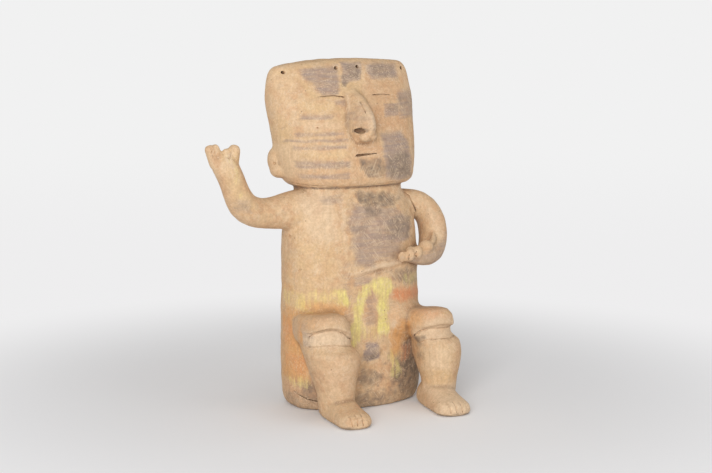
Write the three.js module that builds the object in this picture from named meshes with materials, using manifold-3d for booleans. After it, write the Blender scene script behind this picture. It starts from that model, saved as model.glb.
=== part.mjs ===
// Seated slab figure of fired clay: a flat-backed body on a flat seat, a wedge-shaped plate of a head,
// one arm raised, one arm bent to the belly, and short legs with knee caps and bound calves.
// Millimetres, +Z up. The origin is the middle of the seat. The figure faces -Y, so its right side is at -X.
import * as THREE from 'three';
import { mergeVertices } from 'three/addons/utils/BufferGeometryUtils.js';
import Module from 'manifold-3d';

const wasm = await Module();
wasm.setup();

const CLAY = new THREE.MeshStandardMaterial({ color: 0xc39a72, roughness: 0.86, metalness: 0 });

// Torso sizes by height, as [height, size]; an edge has its height and its inset at the sides and in depth
const TORSO_BOTTOM = 0;
const TORSO_TOP = 232;
const SEAT_EDGE = { tall: 12, side: 7, deep: 2.5 };
const NECK_EDGE = { tall: 1, side: 1, deep: 1 };
const TORSO_SQUARENESS = 2.5;
const NECK_HALF = [[207, 61.5], [217, 56.5], [232, 56]];
const TORSO_RIGHT_HALF = [[0, 71], [25, 72.5], [60, 73.5], [110, 72.5], [180, 71], ...NECK_HALF];
const TORSO_LEFT_HALF = [[0, 73], [40, 75], [100, 73.5], [160, 71], [190, 69], ...NECK_HALF];
const TORSO_FRONT = [[0, 45], [50, 45], [110, 42], [180, 37], [212, 33], [232, 33]];
const TORSO_BACK = [[0, 41], [110, 42], [190, 41], [207, 36], [217, 30], [232, 28]];
const TORSO_MIDDLE = [[0, 0], [190, 0], [216, 5], [232, 8]];

// Head sizes by height: the face leans back, so the plate is thick at the chin and thin at the top
const HEAD_BOTTOM = 221;
const HEAD_TOP = 346;
const HEAD_TOP_EDGE = { tall: 12, side: 6, deep: 12 };
const CHIN_EDGE = { tall: 9, side: 8, deep: 7 };
const HEAD_SQUARENESS = 2.35;
const HEAD_RIGHT_HALF = [[221, 64], [235, 70], [250, 74], [264, 75.5], [282, 78.5], [305, 82], [346, 78]];
const HEAD_LEFT_HALF = [[221, 72], [235, 75], [262, 77], [284, 79], [305, 80], [328, 78.5], [346, 76]];
const HEAD_MIDDLE = [[221, 13], [255, 17], [285, 20], [310, 23], [346, 26]];
const HEAD_FRONT = [[221, 48], [240, 51], [256, 51], [285, 43], [310, 34], [337, 21], [346, 19]];
const HEAD_BACK = [[221, 27], [255, 26], [300, 23], [346, 19]];
const CROWN = { from: 300, half: 71, dropRight: 7.5, dropLeft: 3, power: 2.2 };

// Face
const EYE = { height: 309.5, inner: 14, outer: 44, arch: 1.2 };
const MOUTH = { height: 253.5, half: 13, slope: 1.2 };
const SLIT = { width: 2.2, depth: 3, steps: 6 };
const NOSE_MIDDLE = -1;
const NOSE_BOTTOM = 265;
const NOSE_TOP = 318;
const NOSE_LOW_EDGE = { tall: 3, side: 4, deep: 4 };
const NOSE_TOP_EDGE = { tall: 2, side: 2, deep: 1 };
const NOSE_SQUARENESS = 1.6;
const NOSE_HALF_WIDTH = [[265, 9], [270, 12], [276, 13.5], [286, 13], [297, 11.5], [308, 9], [318, 4]];
const NOSE_RISE = [[265, 8], [270, 16], [276, 23], [282, 27], [289, 28.5], [297, 26], [310, 15], [318, 1]];
const NOSE_ROOT_DEPTH = 8;
const NOSTRIL = { offset: 8.5, height: 277, rise: 15, radius: 2.5, depth: 8, yaw: 40, dip: 40 };
const PIERCING = { radius: 2, depth: 12, places: [[-66.5, 333], [-12.2, 336.5], [12.2, 337.5], [67.5, 335]] };
const EAR = { x: 74, y: 22, z: 247, out: 6, deep: 9, tall: 12 };
const NAVEL = { x: 5, z: 58, radius: 6.5, rise: 3 };

// Arms: centre lines from the shoulder to the hand, thickness along them, and the finger stubs
const RAISED_ARM = {
  path: [
    [-50, 1, 200], [-70, 0, 198.5], [-86, -1, 197], [-102, -3, 198], [-117, -5, 204.5],
    [-126, -8, 216], [-131.5, -10, 228], [-136.5, -12, 238], [-141, -12.5, 246],
  ],
  radius: [[0, 20], [0.15, 18.5], [0.35, 15.5], [0.6, 14.8], [0.78, 13.2], [0.88, 13], [1, 13]],
  deeper: 0,
  fingers: [
    { from: [-151.5, -13, 249], to: [-157.3, -14, 263.2], radius: 5 },
    { from: [-146, -13, 251], to: [-151.4, -14, 264.4], radius: 4.2 },
    { from: [-141, -13, 249], to: [-139.8, -14, 259.4], radius: 4.7 },
    { from: [-134, -12, 247], to: [-131.8, -14, 261.4], radius: 6.3 },
  ],
};
const BENT_ARM = {
  path: [
    [50, 1, 197], [68, 0, 198], [82, -2, 194], [91.5, -5, 183], [93.5, -9, 168],
    [89.5, -15, 155.5], [80, -25, 148.5], [69, -34, 147.5], [58, -39, 149],
  ],
  radius: [[0, 17], [0.15, 15.5], [0.35, 14], [0.6, 13.5], [0.8, 11.5], [1, 9.5]],
  deeper: 9,
  fingers: [
    { from: [62, -37, 144.5], to: [38, -43.5, 150.5], radius: 5 },
    { from: [64, -37, 149.5], to: [46.5, -42, 155], radius: 5 },
    { from: [77, -28, 152], to: [66, -35, 157.5], radius: 5.8 },
  ],
};

// Legs: each has a knee cap arched over a bound band, a full calf, an ankle and a foot
const RIGHT_LEG = {
  cap: { x: -56, half: 27.5, front: -81, top: 105.5, lip: 92, lipArch: [18, 10], lipTilt: 8 },
  shank: [
    { x: -54.7, y: -52, z: 97, radius: 23, back: 30 },
    { x: -54.7, y: -54, z: 76, radius: 23.8, back: 34 },
    { x: -54.5, y: -57, z: 70.5, radius: 23.6, back: 37 },
    { x: -53, y: -61, z: 67, radius: 25.7, back: 41 },
    { x: -51, y: -62.5, z: 62, radius: 26.4, back: 42 },
    { x: -50.3, y: -63.5, z: 52.5, radius: 24.5, back: 40 },
    { x: -49.5, y: -63.5, z: 38, radius: 21, back: 32 },
    { x: -48.5, y: -63, z: 25.5, radius: 19, back: 19 },
    { x: -47.5, y: -61, z: 12, radius: 18, back: 18 },
    { x: -47, y: -60, z: 4, radius: 16, back: 16 },
  ],
  foot: { heel: [-45.5, -48], toe: [-47.5, -101], heelHalf: 16, toeHalf: 17 },
};
const LEFT_LEG = {
  cap: { x: 63, half: 25.5, front: -79, top: 101.5, lip: 84.5, lipArch: [8.5, 8.5], lipTilt: 0 },
  shank: [
    { x: 62.5, y: -51, z: 92, radius: 20.5, back: 26 },
    { x: 62.5, y: -55, z: 73.5, radius: 20.8, back: 30 },
    { x: 64.5, y: -58, z: 70, radius: 21.6, back: 33 },
    { x: 67, y: -60.5, z: 66.5, radius: 22.8, back: 36 },
    { x: 68.2, y: -62, z: 59, radius: 23.2, back: 37 },
    { x: 68.5, y: -62.5, z: 50, radius: 22.5, back: 35 },
    { x: 68.2, y: -63, z: 40, radius: 21.1, back: 29 },
    { x: 68, y: -63, z: 27, radius: 18.2, back: 18.2 },
    { x: 68.7, y: -62, z: 16, radius: 17.6, back: 17.6 },
    { x: 68, y: -60, z: 4, radius: 16, back: 16 },
  ],
  foot: { heel: [67, -49], toe: [60.5, -103], heelHalf: 17, toeHalf: 18.5 },
};
const KNEE = { back: -8, topEdge: 13, lipEdge: 3, backDrop: 9, squareness: 2.4, narrowing: 0.25 };
const THIGH = { inset: 1.5, behind: 15, drop: 3, tall: 28, lowEdge: 10, topEdge: 11 };
const FOOT = { middle: 5, below: 8, squareness: 2.3 };
const FOOT_HEIGHT = [[0, 20], [0.35, 21], [0.7, 14], [1, 10]];
const TOE_CLEFT = { count: 4, width: 1.8, depth: 3, length: 9 };

// Mesh fineness
const SLAB_SIDES = 40;
const NOSE_SIDES = 16;
const LEG_SIDES = 20;
const ARM_SIDES = 14;
const FINGER_SIDES = 8;
const EDGE_STEPS = 3;

// A smooth value through knots of [place, value], level beyond both ends
function through(knots) {
  const last = knots.length - 1;
  const slope = (i) => {
    const before = knots[Math.max(i - 1, 0)];
    const after = knots[Math.min(i + 1, last)];
    return (after[1] - before[1]) / (after[0] - before[0]);
  };
  return (place) => {
    const at = THREE.MathUtils.clamp(place, knots[0][0], knots[last][0]);
    let i = 0;
    while (i < last - 1 && at > knots[i + 1][0]) {
      i += 1;
    }
    const [x0, y0] = knots[i];
    const [x1, y1] = knots[i + 1];
    const span = x1 - x0;
    const t = (at - x0) / span;
    const rise = t * t * (3 - 2 * t);
    const easeOut = t * (1 - t) * (1 - t) * span * slope(i);
    const easeIn = t * t * (t - 1) * span * slope(i + 1);
    return y0 + (y1 - y0) * rise + easeOut + easeIn;
  };
}

// The section of a slab by height
function slabShape(right, left, front, back, middle) {
  return {
    right: through(right),
    left: through(left),
    front: through(front),
    back: through(back),
    middle: through(middle),
  };
}

const torsoShape = slabShape(TORSO_RIGHT_HALF, TORSO_LEFT_HALF, TORSO_FRONT, TORSO_BACK, TORSO_MIDDLE);
const headShape = slabShape(HEAD_RIGHT_HALF, HEAD_LEFT_HALF, HEAD_FRONT, HEAD_BACK, HEAD_MIDDLE);

// How far forward a slab's front lies at a place on it
function frontOf(shape, squareness, x, z) {
  const half = x < 0 ? shape.right(z) : shape.left(z);
  const share = Math.min(1, Math.abs(x / half));
  return shape.middle(z) - shape.front(z) * Math.pow(1 - Math.pow(share, squareness), 1 / squareness);
}

function faceAt(x, z) {
  return frontOf(headShape, HEAD_SQUARENESS, x, z);
}

function bellyAt(x, z) {
  return frontOf(torsoShape, TORSO_SQUARENESS, x, z);
}

// A closed skin over a stack of rings, each counterclockwise about the way the stack goes
function loft(rings) {
  const sides = rings[0].length;
  const points = rings.flat();
  const middleOf = (ring) => ring.reduce((sum, p) => sum.add(p), new THREE.Vector3()).divideScalar(sides);
  const start = points.length;
  points.push(middleOf(rings[0]), middleOf(rings[rings.length - 1]));
  const index = [];
  const lastRow = (rings.length - 1) * sides;
  for (let s = 0; s < sides; s += 1) {
    const next = (s + 1) % sides;
    index.push(start, next, s);
    index.push(start + 1, lastRow + s, lastRow + next);
    for (let row = 0; row < lastRow; row += sides) {
      index.push(row + s, row + next, row + next + sides);
      index.push(row + s, row + next + sides, row + s + sides);
    }
  }
  const geometry = new THREE.BufferGeometry().setFromPoints(points);
  geometry.setIndex(index);
  return geometry;
}

// A ring of a superellipse in the plane of two directions, with its own size on each side of both
function ringAt({ centre, across, up, right, left, below, above, squareness, sides }) {
  const ring = [];
  for (let s = 0; s < sides; s += 1) {
    const angle = (s / sides) * 2 * Math.PI;
    const c = Math.cos(angle);
    const d = Math.sin(angle);
    const reach = Math.sign(c) * Math.pow(Math.abs(c), 2 / squareness) * (c < 0 ? right : left);
    const lift = Math.sign(d) * Math.pow(Math.abs(d), 2 / squareness) * (d < 0 ? below : above);
    ring.push(new THREE.Vector3().copy(centre).addScaledVector(across, reach).addScaledVector(up, lift));
  }
  return ring;
}

const X_AXIS = new THREE.Vector3(1, 0, 0);
const Y_AXIS = new THREE.Vector3(0, 1, 0);

// Heights of the rings of an upright form, with the share of its edges' inset at each
function levelsOf(bottom, top, lowEdge, highEdge, steps) {
  const levels = [];
  const quarter = Math.PI / 2;
  for (let i = 0; i < EDGE_STEPS; i += 1) {
    const angle = (i / EDGE_STEPS) * quarter;
    const z = bottom + lowEdge.tall * (1 - Math.cos(angle));
    levels.push({ z, edge: lowEdge, inset: 1 - Math.sin(angle) });
  }
  for (let i = 0; i <= steps; i += 1) {
    const z = THREE.MathUtils.lerp(bottom + lowEdge.tall, top - highEdge.tall, i / steps);
    levels.push({ z, edge: lowEdge, inset: 0 });
  }
  for (let i = 1; i <= EDGE_STEPS; i += 1) {
    const angle = (i / EDGE_STEPS) * quarter;
    const z = top - highEdge.tall * (1 - Math.sin(angle));
    levels.push({ z, edge: highEdge, inset: 1 - Math.cos(angle) });
  }
  return levels;
}

// One level ring of an upright slab, drawn in at its edges and scaled towards its middle
function slabRing(shape, squareness, { z, edge, inset }, scale = 1) {
  return ringAt({
    centre: new THREE.Vector3(0, shape.middle(z), z),
    across: X_AXIS,
    up: Y_AXIS,
    right: (shape.right(z) - edge.side * inset) * scale,
    left: (shape.left(z) - edge.side * inset) * scale,
    below: (shape.front(z) - edge.deep * inset) * scale,
    above: (shape.back(z) - edge.deep * inset) * scale,
    squareness,
    sides: SLAB_SIDES,
  });
}

// A tube along a smooth path, round in section or deeper behind, with both ends rounded off
function limb(path, radiusKnots, sides, steps, deeper) {
  const curve = new THREE.CatmullRomCurve3(path.map((p) => new THREE.Vector3(...p)));
  const radius = through(radiusKnots);
  const frames = curve.computeFrenetFrames(steps);
  const ring = (i, shift, share) => {
    const reach = radius(i / steps);
    const size = reach * share;
    const centre = curve.getPointAt(i / steps).addScaledVector(frames.tangents[i], shift * reach);
    const points = ringAt({
      centre,
      across: frames.normals[i],
      up: frames.binormals[i],
      right: size,
      left: size,
      below: size,
      above: size,
      squareness: 2,
      sides,
    });
    for (const point of points) {
      point.y += deeper * Math.max(0, (point.y - centre.y) / reach);
    }
    return points;
  };
  const rings = [];
  for (let k = 1; k < EDGE_STEPS; k += 1) {
    const angle = (k / EDGE_STEPS) * (Math.PI / 2);
    rings.push(ring(0, -Math.cos(angle), Math.sin(angle)));
  }
  for (let i = 0; i <= steps; i += 1) {
    rings.push(ring(i, 0, 1));
  }
  for (let k = EDGE_STEPS - 1; k > 0; k -= 1) {
    const angle = (k / EDGE_STEPS) * (Math.PI / 2);
    rings.push(ring(steps, Math.cos(angle), Math.sin(angle)));
  }
  return loft(rings);
}

// A merged closed mesh as a solid that can be joined and cut
function solid(geometry) {
  const bare = new THREE.BufferGeometry();
  bare.setAttribute('position', geometry.getAttribute('position').clone());
  if (geometry.index) {
    bare.setIndex(geometry.index.clone());
  }
  const merged = mergeVertices(bare, 1e-4);
  return new wasm.Manifold(new wasm.Mesh({
    numProp: 3,
    vertProperties: new Float32Array(merged.getAttribute('position').array),
    triVerts: new Uint32Array(merged.index.array),
  }));
}

// An upright slab with rounded edges; its crown may drop towards its sides
function slab(shape, squareness, levels, crown) {
  const rings = levels.map((level) => slabRing(shape, squareness, level));
  for (const scale of [0.7, 0.35]) {
    rings.push(slabRing(shape, squareness, levels[levels.length - 1], scale));
  }
  if (crown) {
    rings.flat().forEach(crown);
  }
  return loft(rings);
}

function torso() {
  const levels = levelsOf(TORSO_BOTTOM, TORSO_TOP, SEAT_EDGE, NECK_EDGE, 14);
  return solid(slab(torsoShape, TORSO_SQUARENESS, levels));
}

// The crown of the head falls a little towards its corners, more on the figure's right
function dropCrown(point) {
  const drop = point.x < 0 ? CROWN.dropRight : CROWN.dropLeft;
  const height = THREE.MathUtils.smoothstep(point.z, CROWN.from, HEAD_TOP);
  point.z -= drop * Math.pow(Math.abs(point.x) / CROWN.half, CROWN.power) * height;
}

function headPlate() {
  const levels = levelsOf(HEAD_BOTTOM, HEAD_TOP, CHIN_EDGE, HEAD_TOP_EDGE, 11);
  return solid(slab(headShape, HEAD_SQUARENESS, levels, dropCrown));
}

// The hooked nose stands off the leaning face and fades out between the eyes
function nose() {
  const half = through(NOSE_HALF_WIDTH);
  const rise = through(NOSE_RISE);
  const levels = levelsOf(NOSE_BOTTOM, NOSE_TOP, NOSE_LOW_EDGE, NOSE_TOP_EDGE, 8);
  const rings = levels.map(({ z, edge, inset }) => ringAt({
    centre: new THREE.Vector3(NOSE_MIDDLE, faceAt(NOSE_MIDDLE, z) + 1, z),
    across: X_AXIS,
    up: Y_AXIS,
    right: half(z) - edge.side * inset,
    left: half(z) - edge.side * inset,
    below: rise(z) + 1 - edge.deep * inset,
    above: NOSE_ROOT_DEPTH,
    squareness: NOSE_SQUARENESS,
    sides: NOSE_SIDES,
  }));
  return solid(loft(rings));
}

// A round bead, stretched along each axis
function bead(x, y, z, wide, deep, tall) {
  const geometry = new THREE.SphereGeometry(1, 14, 9);
  geometry.scale(wide, deep, tall);
  geometry.translate(x, y, z);
  return solid(geometry);
}

function ear(side) {
  return bead(side * EAR.x, EAR.y, EAR.z, EAR.out, EAR.deep, EAR.tall);
}

function navel() {
  return bead(NAVEL.x, bellyAt(NAVEL.x, NAVEL.z), NAVEL.z, NAVEL.radius, NAVEL.rise, NAVEL.radius);
}

function finger({ from, to, radius }) {
  return solid(limb([from, to], [[0, radius * 1.15], [1, radius]], FINGER_SIDES, 2, 0));
}

function arm({ path, radius, deeper, fingers }) {
  const tube = solid(limb(path, radius, ARM_SIDES, 16, deeper));
  return fingers.reduce((whole, stub) => whole.add(finger(stub)), tube);
}

// A block from the belly forward to a round and wider front, with upright sides and rounded edges
function kneeBlock(x, half, front, levels) {
  const middle = (front + KNEE.back) / 2;
  const reach = (KNEE.back - front) / 2;
  const rings = levels.map(({ z, edge, inset }) => ringAt({
    centre: new THREE.Vector3(x, middle, z),
    across: X_AXIS,
    up: Y_AXIS,
    right: half - edge.side * inset,
    left: half - edge.side * inset,
    below: reach - edge.deep * inset,
    above: reach,
    squareness: KNEE.squareness,
    sides: LEG_SIDES,
  }));
  for (const point of rings.flat()) {
    const behind = (point.y - front) / (KNEE.back - front);
    point.x = x + (point.x - x) * (1 - KNEE.narrowing * behind);
  }
  return rings;
}

function evenEdge(size) {
  return { tall: size, side: size, deep: size };
}

// The knee cap stands over the shin, its lip arched down to each side and its top falling back to the belly
function kneeCap({ x, half, front, top, lip, lipArch, lipTilt }) {
  const levels = levelsOf(lip, top, evenEdge(KNEE.lipEdge), evenEdge(KNEE.topEdge), 2);
  const rings = kneeBlock(x, half, front, levels);
  for (const point of rings.flat()) {
    const height = (point.z - lip) / (top - lip);
    const aside = (point.x - x) / half;
    const arch = (aside < 0 ? lipArch[0] : lipArch[1]) * aside * aside;
    const behind = (point.y - front) / (KNEE.back - front);
    point.z -= (1 - height) * (arch + lipTilt * aside) + height * KNEE.backDrop * behind;
  }
  return solid(loft(rings));
}

// The thigh carries the cap and runs back into the belly
function thigh({ x, half, front, top }) {
  const high = top - KNEE.backDrop / 2 - THIGH.drop;
  const levels = levelsOf(high - THIGH.tall, high, evenEdge(THIGH.lowEdge), evenEdge(THIGH.topEdge), 1);
  return solid(loft(kneeBlock(x, half - THIGH.inset, front + THIGH.behind, levels)));
}

// The shin is round in front and reaches back to the belly down to the ankle
function shank(stations) {
  const rings = [...stations].reverse().map(({ x, y, z, radius, back }) => ringAt({
    centre: new THREE.Vector3(x, y, z),
    across: X_AXIS,
    up: Y_AXIS,
    right: radius,
    left: radius,
    below: radius,
    above: back,
    squareness: 2,
    sides: LEG_SIDES,
  }));
  return solid(loft(rings));
}

// A foot lies along the ground from heel to toe and is flattest at the toes
function foot({ heel, toe, heelHalf, toeHalf }) {
  const back = new THREE.Vector3(heel[0], heel[1], FOOT.middle);
  const front = new THREE.Vector3(toe[0], toe[1], FOOT.middle);
  const way = new THREE.Vector3().subVectors(front, back);
  const length = way.length();
  way.normalize();
  const up = new THREE.Vector3(0, 0, 1);
  const across = new THREE.Vector3().crossVectors(up, way);
  const height = through(FOOT_HEIGHT);
  const ring = (share, shift, size) => {
    const half = THREE.MathUtils.lerp(heelHalf, toeHalf, share);
    return ringAt({
      centre: new THREE.Vector3().lerpVectors(back, front, share).addScaledVector(way, shift),
      across,
      up,
      right: half * size,
      left: half * size,
      below: FOOT.below * size,
      above: height(share) * size,
      squareness: FOOT.squareness,
      sides: LEG_SIDES,
    });
  };
  const rings = [];
  for (let k = 1; k < EDGE_STEPS; k += 1) {
    const angle = (k / EDGE_STEPS) * (Math.PI / 2);
    rings.push(ring(0, -heelHalf * 0.5 * Math.cos(angle), Math.sin(angle)));
  }
  const steps = Math.round(length / 9);
  for (let i = 0; i <= steps; i += 1) {
    rings.push(ring(i / steps, 0, 1));
  }
  for (let k = EDGE_STEPS - 1; k > 0; k -= 1) {
    const angle = (k / EDGE_STEPS) * (Math.PI / 2);
    rings.push(ring(1, toeHalf * 0.75 * Math.cos(angle), Math.sin(angle)));
  }
  return solid(loft(rings));
}

function leg({ cap, shank: stations, foot: sole }) {
  return kneeCap(cap).add(thigh(cap)).add(shank(stations)).add(foot(sole));
}

// A box to cut with, by its middle and sizes
function cutBox(x, y, z, wide, deep, tall) {
  const geometry = new THREE.BoxGeometry(wide, deep, tall);
  geometry.translate(x, y, z);
  return solid(geometry);
}

// An incised slit across the face, wedge-shaped in section, from one place to another
function slit(fromX, toX, heightAt) {
  const rings = [];
  for (let i = 0; i <= SLIT.steps; i += 1) {
    const x = THREE.MathUtils.lerp(fromX, toX, i / SLIT.steps);
    const z = heightAt(x);
    const y = faceAt(x, z);
    const end = i === 0 || i === SLIT.steps ? 0.5 : 1;
    rings.push([
      new THREE.Vector3(x, y + SLIT.depth * end, z),
      new THREE.Vector3(x, y - SLIT.depth, z + SLIT.width * end),
      new THREE.Vector3(x, y - SLIT.depth, z - SLIT.width * end),
    ]);
  }
  return solid(loft(rings));
}

function eyeSlit(side) {
  const arch = (x) => {
    const share = (Math.abs(x) - EYE.inner) / (EYE.outer - EYE.inner);
    return EYE.height + EYE.arch * Math.sin(share * Math.PI);
  };
  const ends = side < 0 ? [-EYE.outer, -EYE.inner] : [EYE.inner, EYE.outer];
  return slit(ends[0], ends[1], arch);
}

function mouthSlit() {
  const slope = (x) => MOUTH.height + (MOUTH.slope * x) / (2 * MOUTH.half);
  return slit(-MOUTH.half, MOUTH.half, slope);
}

// A round hole sunk from the front
function sunkHole(x, y, z, radius, depth) {
  const geometry = new THREE.CylinderGeometry(radius, radius, depth * 2, 8);
  geometry.translate(x, y, z);
  return solid(geometry);
}

// A nostril opens on the underside of each wing of the nose
function nostril(side) {
  const geometry = new THREE.CylinderGeometry(NOSTRIL.radius, NOSTRIL.radius, NOSTRIL.depth, 8);
  geometry.rotateX(THREE.MathUtils.degToRad(NOSTRIL.dip));
  geometry.rotateZ(THREE.MathUtils.degToRad(side * NOSTRIL.yaw));
  geometry.translate(
    NOSE_MIDDLE + side * NOSTRIL.offset,
    faceAt(NOSE_MIDDLE, NOSTRIL.height) - NOSTRIL.rise,
    NOSTRIL.height,
  );
  return solid(geometry);
}

function piercings() {
  return PIERCING.places.map(([x, z]) => sunkHole(x, faceAt(x, z), z, PIERCING.radius, PIERCING.depth));
}

// Shallow clefts between the toes, along the front of a foot
function toeClefts({ toe, toeHalf }) {
  const clefts = [];
  for (let i = 1; i <= TOE_CLEFT.count; i += 1) {
    const share = (2 * i) / (TOE_CLEFT.count + 1) - 1;
    const x = toe[0] + share * toeHalf * 0.9;
    const y = toe[1] - toeHalf * 0.75 * Math.sqrt(1 - share * share);
    clefts.push(cutBox(x, y, FOOT.middle + 3, TOE_CLEFT.width, TOE_CLEFT.depth * 2, TOE_CLEFT.length));
  }
  return clefts;
}

function figure() {
  const added = [
    headPlate(), nose(), ear(-1), ear(1), navel(),
    arm(RAISED_ARM), arm(BENT_ARM), leg(RIGHT_LEG), leg(LEFT_LEG),
  ];
  const removed = [
    eyeSlit(-1), eyeSlit(1), mouthSlit(), nostril(-1), nostril(1), ...piercings(),
    ...toeClefts(RIGHT_LEG.foot), ...toeClefts(LEFT_LEG.foot),
    cutBox(0, 0, -50, 400, 400, 100),
  ];
  const whole = added.reduce((body, piece) => body.add(piece), torso());
  return removed.reduce((body, cutter) => body.subtract(cutter), whole);
}

// A named mesh from a finished solid
function meshOf(name, body, material) {
  const { vertProperties, triVerts } = body.getMesh();
  const geometry = new THREE.BufferGeometry();
  geometry.setAttribute('position', new THREE.BufferAttribute(new Float32Array(vertProperties), 3));
  geometry.setIndex(new THREE.BufferAttribute(new Uint32Array(triVerts), 1));
  geometry.computeVertexNormals();
  const mesh = new THREE.Mesh(geometry, material);
  mesh.name = name;
  return mesh;
}

const group = new THREE.Group();
group.add(meshOf('slab_figure', figure(), CLAY));

export default group;
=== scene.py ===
"""Dresses the seated slab figure: a hollow figure of fired clay, painted with slip, worn and stained, with
painted shade and a few painted highlights in its colour.

The clay is a copy of the CAD solid, thickened with rolls and pellets, remeshed, smoothed and cut.
Lengths in the settings are metres, places on the figure are millimetres in the row frame.
"""
import math

import bpy
import numpy as np
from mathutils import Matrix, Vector
from mathutils.bvhtree import BVHTree


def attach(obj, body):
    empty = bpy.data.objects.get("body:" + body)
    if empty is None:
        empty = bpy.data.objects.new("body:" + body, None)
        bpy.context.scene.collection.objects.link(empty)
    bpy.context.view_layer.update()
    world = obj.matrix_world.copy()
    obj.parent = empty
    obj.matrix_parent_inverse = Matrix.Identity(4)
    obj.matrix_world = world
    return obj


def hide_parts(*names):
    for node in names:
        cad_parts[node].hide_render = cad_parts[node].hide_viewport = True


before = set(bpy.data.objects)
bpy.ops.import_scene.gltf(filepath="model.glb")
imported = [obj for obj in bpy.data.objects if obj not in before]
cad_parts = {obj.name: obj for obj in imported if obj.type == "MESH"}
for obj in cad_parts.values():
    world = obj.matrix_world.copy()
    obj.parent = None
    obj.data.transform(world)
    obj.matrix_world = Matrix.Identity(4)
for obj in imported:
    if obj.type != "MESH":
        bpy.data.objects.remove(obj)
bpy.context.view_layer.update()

bl_info = {
    "name": "Seated slab figure",
    "version": (1, 0, 0),
    "blender": (4, 5, 0),
    "location": "3D View > Sidebar > Slab figure",
    "description": "Models and finishes a seated slab figure of fired clay, and its stage",
    "category": "Object",
}

NODE = "slab_figure"
MM = 0.001

# Pellets of clay pressed on before the surface is smoothed: middle, half sizes and turn about Z
PELLETS = [
    {"at": (46, -33, 84), "half": (26, 10, 21), "turn": 18},
    {"at": (-46, -32, 90), "half": (26, 11, 16), "turn": -14},
    {"at": (-58, 2, 197), "half": (16, 17, 21), "turn": 0},
    {"at": (57, 2, 198), "half": (13, 15, 16), "turn": 0},
    {"at": (-70.5, 18, 237), "half": (9, 9, 8.5), "turn": 0},
    {"at": (70.5, 18, 237), "half": (9, 9, 8.5), "turn": 0},
    {"at": (0.5, -42.5, 57.5), "half": (9.5, 4.6, 9.5), "turn": 0},
    {"at": (67, -38.5, 158), "half": (7.5, 7, 6.5), "turn": 20},
    {"at": (35, -45.5, 150.5), "half": (4.4, 5, 6), "turn": 0},
    {"at": (43.5, -47, 152), "half": (4.4, 5.2, 6.8), "turn": 0},
    {"at": (52.5, -46, 154), "half": (4.8, 5.2, 7), "turn": 0},
    {"at": (-5, -41.5, 271.5), "half": (6, 5.5, 5.2), "turn": 0},
    {"at": (3.5, -40.5, 272), "half": (4.5, 5, 4.2), "turn": 0},
]

# Rolls of clay laid on: points along each and its thickness
ROLLS = [
    {"points": [(-21, -40, 135), (-8, -41.5, 139), (8, -41, 143), (24, -40, 144), (40, -36.5, 142.5)],
     "radius": 3.4},
    {"points": [(-78, -58, 70.5), (-71, -71, 72), (-58, -78, 72.5), (-43, -77, 71), (-36, -68, 70)],
     "radius": 2.7},
    {"points": [(43, -58, 62), (48, -71, 66), (56, -77.5, 68.5), (71, -79, 68), (82, -68, 68)],
     "radius": 2.6},
    {"points": [(70, -37, 160), (78, -33, 160), (84, -27, 164), (84, -22, 170)], "radius": 3.6},
    {"points": [(-10.5, -15, 306), (-12.5, -20, 296), (-14, -23.5, 286), (-15.5, -27, 276)],
     "radius": 1.5},
]

# How freely each place is smoothed, as a middle, half sizes and a share; elsewhere it is 1
KEPT_CRISP = [
    {"at": (-144, -12, 256), "half": (24, 22, 16), "share": 0.04},
    {"at": (-110, -10, 215), "half": (45, 26, 36), "share": 0.35},
    {"at": (55, -38, 151), "half": (26, 14, 13), "share": 0.04},
    {"at": (92, -10, 175), "half": (24, 34, 42), "share": 0.35},
    {"at": (-4, -45, 290), "half": (17, 30, 33), "share": 0.03},
    {"at": (0, 10, 223), "half": (95, 80, 9), "share": 0.06},
    {"at": (10, -42, 140), "half": (38, 8, 10), "share": 0.08},
    {"at": (0.5, -46, 57.5), "half": (13, 9, 13), "share": 0.12},
    {"at": (72, -34, 160), "half": (20, 14, 12), "share": 0.06},
    {"at": (-56, -66, 82), "half": (36, 36, 30), "share": 0.07},
    {"at": (66, -66, 80), "half": (34, 36, 30), "share": 0.07},
    {"at": (-50, -70, 36), "half": (34, 40, 34), "share": 0.4},
    {"at": (66, -70, 36), "half": (34, 40, 34), "share": 0.4},
    {"at": (0, -90, 4), "half": (110, 40, 16), "share": 0.12},
    {"at": (-80, 22, 249), "half": (14, 20, 18), "share": 0.3},
    {"at": (80, 22, 249), "half": (14, 20, 18), "share": 0.3},
    {"at": (-80, 20, 335), "half": (22, 34, 22), "share": 0.3},
    {"at": (80, 20, 335), "half": (22, 34, 22), "share": 0.3},
]

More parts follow.
